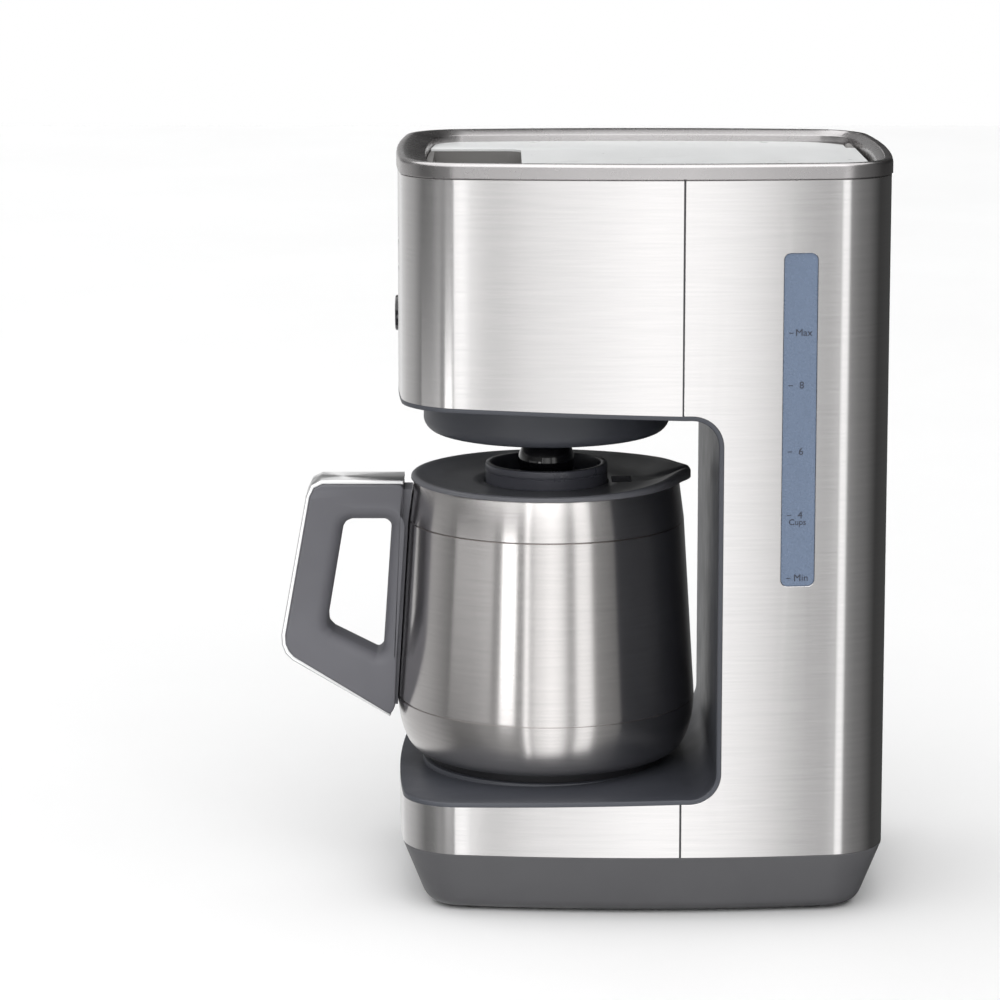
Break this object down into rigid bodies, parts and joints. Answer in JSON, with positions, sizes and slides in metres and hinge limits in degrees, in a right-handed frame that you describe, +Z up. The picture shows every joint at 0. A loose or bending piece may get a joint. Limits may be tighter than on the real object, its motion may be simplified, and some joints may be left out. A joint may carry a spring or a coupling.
{
  "type": "drip coffee maker",
  "caption": "Drip coffee maker with a brushed steel body, a hinged top lid, front buttons, a side water gauge and a lift-out thermal carafe under the brew head.",
  "frame": {"origin": "centre of the bounding box's footprint, on the table", "axes": "+Z up, -Y to the front of the machine, +X to its right as the machine faces -Y seen from behind, the gauge's side"},
  "size_m": [0.1822, 0.2896, 0.355],
  "materials": {
    "steel": "horizontal brushed grain",
    "satin_steel": "satin",
    "skirt_grey": "fine moulded texture",
    "liner_grey": "satin moulded",
    "shell_grey": "moulded",
    "rim_grey": "satin metallic",
    "lid_silver": "satin",
    "grip_grey": "soft matte",
    "black_gloss": "gloss",
    "black_plastic": "satin",
    "rubber": "matte",
    "zinc_steel": "bright",
    "tank_plastic": "translucent moulded",
    "gauge_blue": "translucent satin",
    "silicone": "matte",
    "heater_alloy": "as cast",
    "board_green": "solder mask"
  },
  "bodies": {
    "housing": {"base_pan": "skirt_grey", "bottom_cover": "shell_grey", "rubber_feet": "rubber", "bottom_screws": "zinc_steel", "cord_bush": "rubber", "base_skin": "steel", "head_skin": "steel", "tower_skin": "steel", "body_shell": "shell_grey", "bay_liner": "liner_grey", "top_rim": "rim_grey", "hinge_pins": "zinc_steel", "water_tank": "tank_plastic", "gauge_window": "gauge_blue", "tank_outlet": "black_plastic", "check_valve": "black_plastic", "cold_hose": "silicone", "heater_block": "heater_alloy", "thermostat": "black_plastic", "riser_tube": "silicone", "spray_head": "skirt_grey", "basket_bowl": "liner_grey", "filter_basket": "black_plastic", "circuit_board": "board_green", "display_lens": "black_gloss"},
    "lid": {"lid_frame": "skirt_grey", "lid_plate": "lid_silver"},
    "valve": {"drip_stop": "black_plastic", "drip_spring": "zinc_steel"},
    "start": {"start_button": "black_plastic"},
    "key_upper_right": {"key_upper_right": "satin_steel"},
    "key_upper_left": {"key_upper_left": "satin_steel"},
    "key_lower_right": {"key_lower_right": "satin_steel"},
    "key_lower_left": {"key_lower_left": "satin_steel"},
    "carafe": {"carafe_base": "black_plastic", "carafe_shell": "steel", "carafe_shoulder": "steel", "carafe_liner": "steel", "carafe_lid": "liner_grey", "handle_bracket": "satin_steel", "handle_grip": "grip_grey", "handle_spine": "satin_steel", "handle_screws": "zinc_steel"},
    "collar": {"lid_collar": "black_plastic", "collar_seal": "rubber", "lid_dome": "black_gloss"}
  },
  "joints": [
    {"name": "lid_hinge", "type": "hinge", "parent": "housing", "child": "lid", "pos_m": [0, 0.132, 0.3486], "axis": [-1, 0, 0], "range_deg": [0, 92]},
    {"name": "carafe_slide", "type": "slide", "parent": "housing", "child": "carafe", "axis": [0, -1, 0], "range_m": [0, 0.25]},
    {"name": "collar_twist", "type": "hinge", "parent": "carafe", "child": "collar", "pos_m": [0, -0.0168, 0.19], "axis": [0, 0, 1], "range_deg": [0, 60]},
    {"name": "drip_stop_lift", "type": "slide", "parent": "housing", "child": "valve", "axis": [0, 0, 1], "range_m": [0, 0.004], "stiffness_N_per_m": 120, "deforming": ["drip_spring"]},
    {"name": "start_press", "type": "slide", "parent": "housing", "child": "start", "axis": [0, 1, 0], "range_m": [0, 0.0015], "stiffness_N_per_m": 400},
    {"name": "key_upper_right_press", "type": "slide", "parent": "housing", "child": "key_upper_right", "axis": [0, 1, 0], "range_m": [0, 0.0012], "stiffness_N_per_m": 400},
    {"name": "key_upper_left_press", "type": "slide", "parent": "housing", "child": "key_upper_left", "axis": [0, 1, 0], "range_m": [0, 0.0012], "stiffness_N_per_m": 400},
    {"name": "key_lower_right_press", "type": "slide", "parent": "housing", "child": "key_lower_right", "axis": [0, 1, 0], "range_m": [0, 0.0012], "stiffness_N_per_m": 400},
    {"name": "key_lower_left_press", "type": "slide", "parent": "housing", "child": "key_lower_left", "axis": [0, 1, 0], "range_m": [0, 0.0012], "stiffness_N_per_m": 400}
  ]
}
